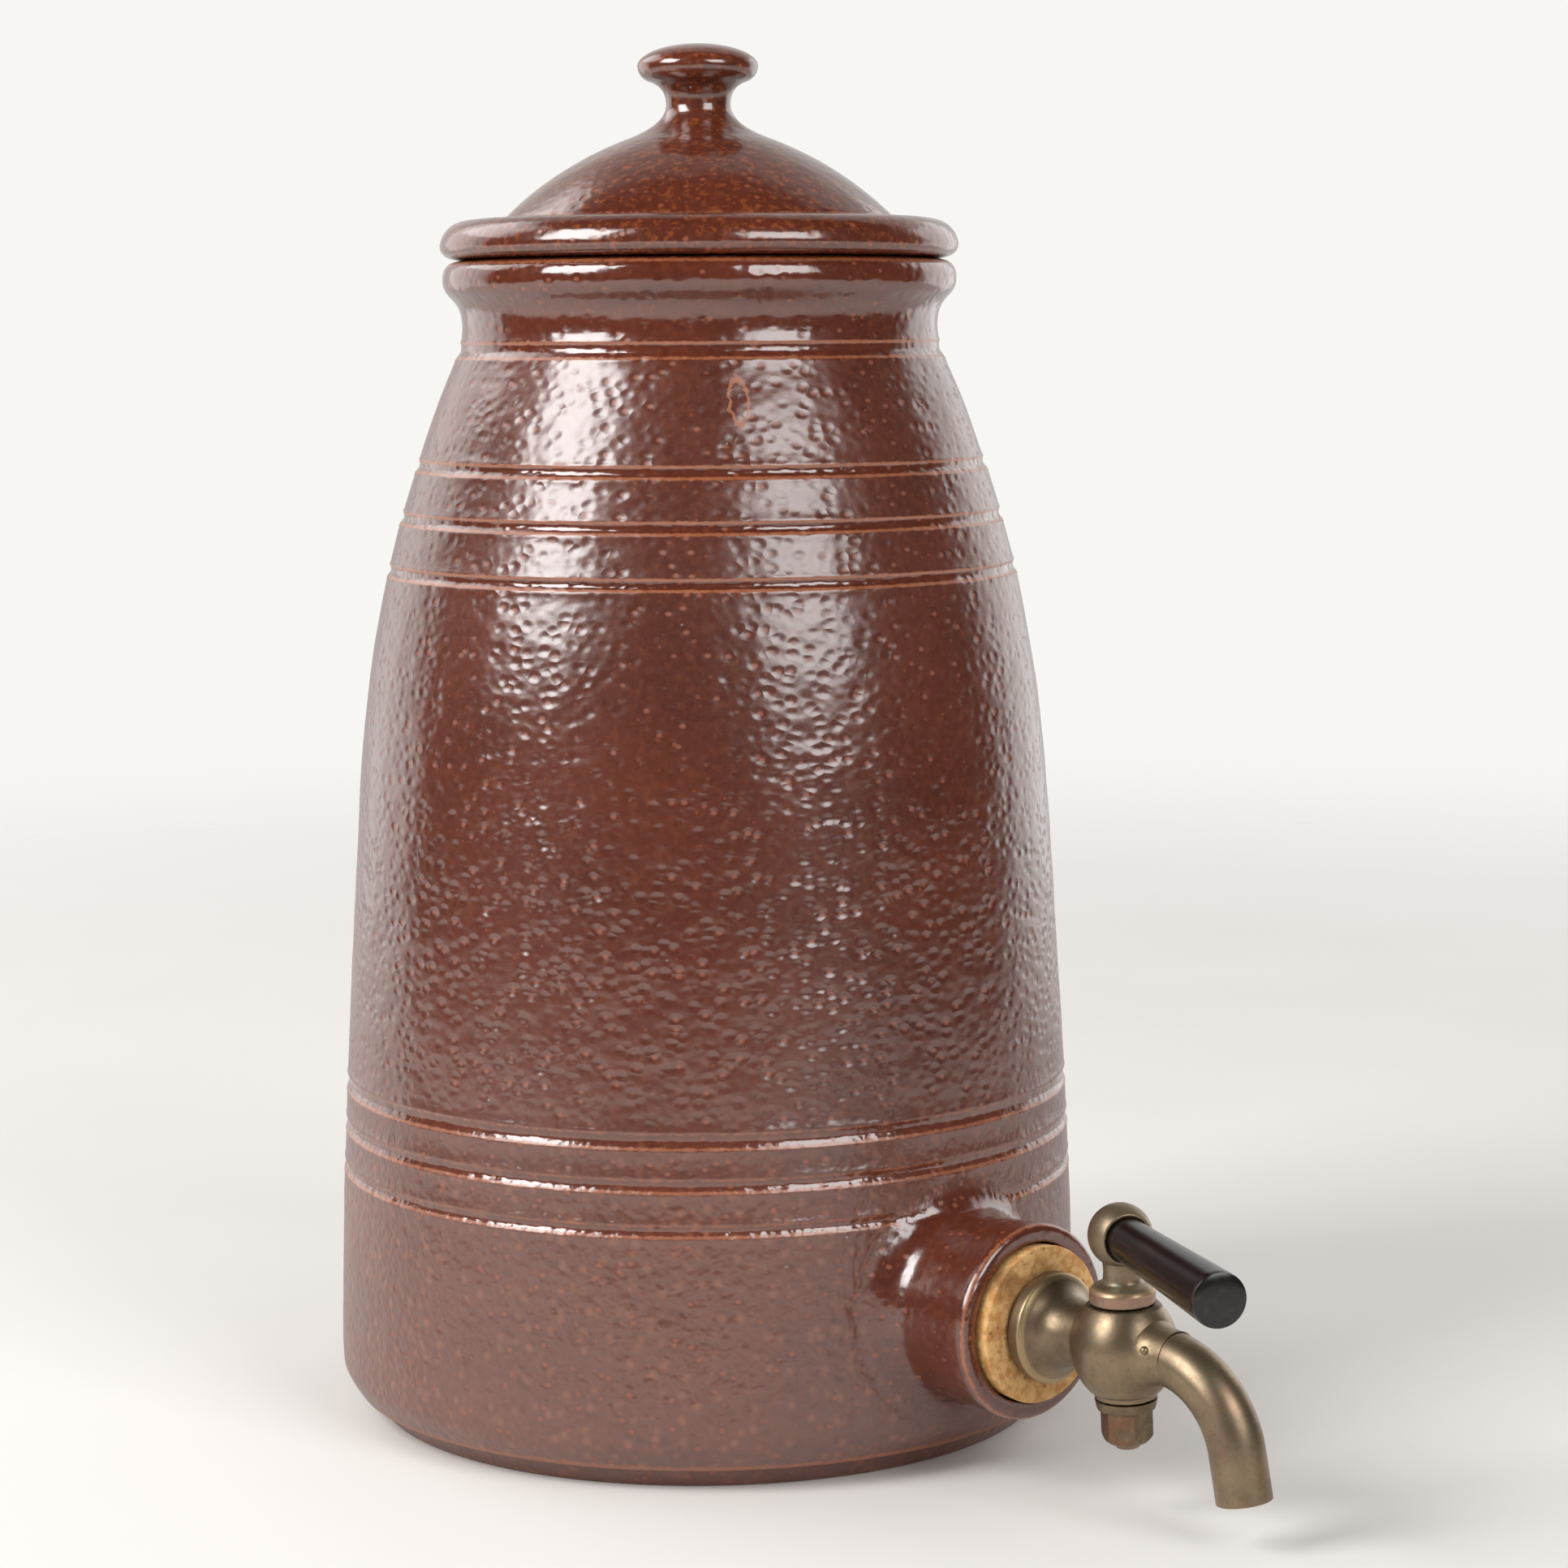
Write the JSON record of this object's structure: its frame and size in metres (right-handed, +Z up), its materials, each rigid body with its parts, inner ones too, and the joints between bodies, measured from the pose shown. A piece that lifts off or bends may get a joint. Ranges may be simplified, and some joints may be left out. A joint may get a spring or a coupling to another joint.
{
  "type": "stoneware water pot with tap",
  "caption": "Round stoneware pot with a knobbed lift-off lid and a brass plug tap that a cork seals into a boss at its foot.",
  "frame": {"origin": "centre of the flat foot, on the ground", "axes": "+Z up, the tap's outlet points along -Y"},
  "size_m": [0.167, 0.2625, 0.3046],
  "materials": {
    "stoneware": "brown salt glaze, glossy",
    "lid_stoneware": "brown salt glaze, glossy, mottled",
    "cork": "raw cork",
    "tap_brass": "dull patina",
    "spout_brass": "dull patina",
    "braze_metal": "satin",
    "plug_brass": "dull patina",
    "washer_brass": "dull patina",
    "nut_brass": "dull patina, stained",
    "ebonite": "semi-gloss black",
    "pin_steel": "plain"
  },
  "bodies": {
    "pot": {"pot_body": "stoneware", "cork_bung": "cork", "tap_body": "tap_brass", "tap_spout": "spout_brass", "spout_braze": "braze_metal"},
    "lid": {"pot_lid": "lid_stoneware"},
    "plug": {"tap_plug": "plug_brass", "plug_washer": "washer_brass", "plug_nut": "nut_brass", "handle_grip": "ebonite", "handle_pin": "pin_steel"}
  },
  "joints": [
    {"name": "lid_lift", "type": "slide", "parent": "pot", "child": "lid", "axis": [0, 0, 1], "range_m": [0, 0.1]},
    {"name": "tap_turn", "type": "hinge", "parent": "pot", "child": "plug", "pos_m": [0, -0.1305, 0.036], "axis": [-0.0558, 0, 0.9984], "range_deg": [-65.2, 114.8]}
  ]
}
